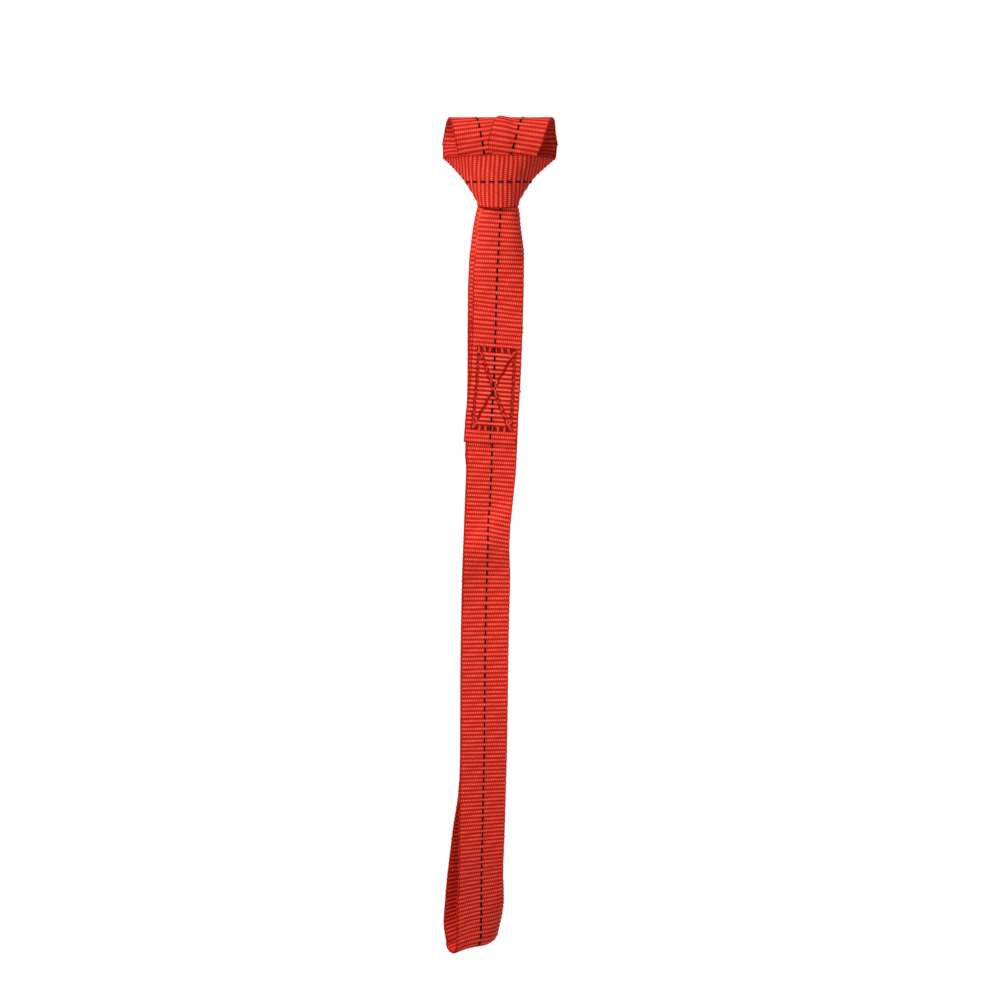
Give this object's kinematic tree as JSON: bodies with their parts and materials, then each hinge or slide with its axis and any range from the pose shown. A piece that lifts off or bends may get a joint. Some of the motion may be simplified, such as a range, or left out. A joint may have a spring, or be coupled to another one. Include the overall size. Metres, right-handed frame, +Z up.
{
  "type": "endless webbing sling",
  "caption": "Flat endless webbing sling in red polyester with a box-stitched lap splice, choke-hitched on a horizontal bar, its lower eye open round a hook seat.",
  "frame": {"origin": "middle of the hitch, on the axis of the bar it is choked on", "axes": "+X along the bar, -Y towards the viewer, who sees the collar and the outer ply of the splice, +Z up against gravity"},
  "size_m": [0.0554, 0.0337, 0.4032],
  "materials": {
    "webbing": "woven polyester, warp ribs with a soft sheen",
    "tracer_yarn": "black woven yarn, matt",
    "stitch_thread": "twisted polyester thread, satin"
  },
  "bodies": {
    "hitch": {"right_bar_wrap": "webbing", "left_bar_wrap": "webbing", "choke_collar": "webbing", "right_riser": "webbing", "left_riser": "webbing", "front_neck": "webbing", "back_neck": "webbing", "hitch_tracer_yarn": "tracer_yarn"},
    "upper_legs": {"front_upper_leg": "webbing", "splice_inner_end": "webbing", "back_upper_leg": "webbing", "box_stitch_thread": "stitch_thread", "cross_stitch_thread": "stitch_thread", "bobbin_box_thread": "stitch_thread", "bobbin_cross_thread": "stitch_thread", "thread_tail": "stitch_thread", "upper_tracer_yarn": "tracer_yarn"},
    "middle_legs": {"front_middle_leg": "webbing", "back_middle_leg": "webbing", "middle_tracer_yarn": "tracer_yarn"},
    "lower_legs": {"front_lower_leg": "webbing", "back_lower_leg": "webbing", "lower_tracer_yarn": "tracer_yarn"},
    "eye": {"front_eye_leg": "webbing", "back_eye_leg": "webbing", "bottom_bight": "webbing", "eye_tracer_yarn": "tracer_yarn"}
  },
  "joints": [
    {"name": "choke_swing", "type": "hinge", "parent": "hitch", "child": "upper_legs", "pos_m": [0, -0.004, -0.038], "axis": [1, 0, 0], "range_deg": [-60, 60]},
    {"name": "splice_bend", "type": "hinge", "parent": "upper_legs", "child": "middle_legs", "pos_m": [-0.00435, -0.004, -0.1525], "axis": [0.9613, 0.2756, 0], "range_deg": [-75, 75]},
    {"name": "leg_twist", "type": "hinge", "parent": "middle_legs", "child": "lower_legs", "pos_m": [-0.0073, -0.004, -0.2371], "axis": [0, 0, 1], "range_deg": [-90, 90], "stiffness_Nm_per_rad": 0.0005},
    {"name": "eye_bend", "type": "hinge", "parent": "lower_legs", "child": "eye", "pos_m": [-0.00835, -0.004, -0.3113], "axis": [0.891, 0.454, 0], "range_deg": [-75, 75]}
  ]
}
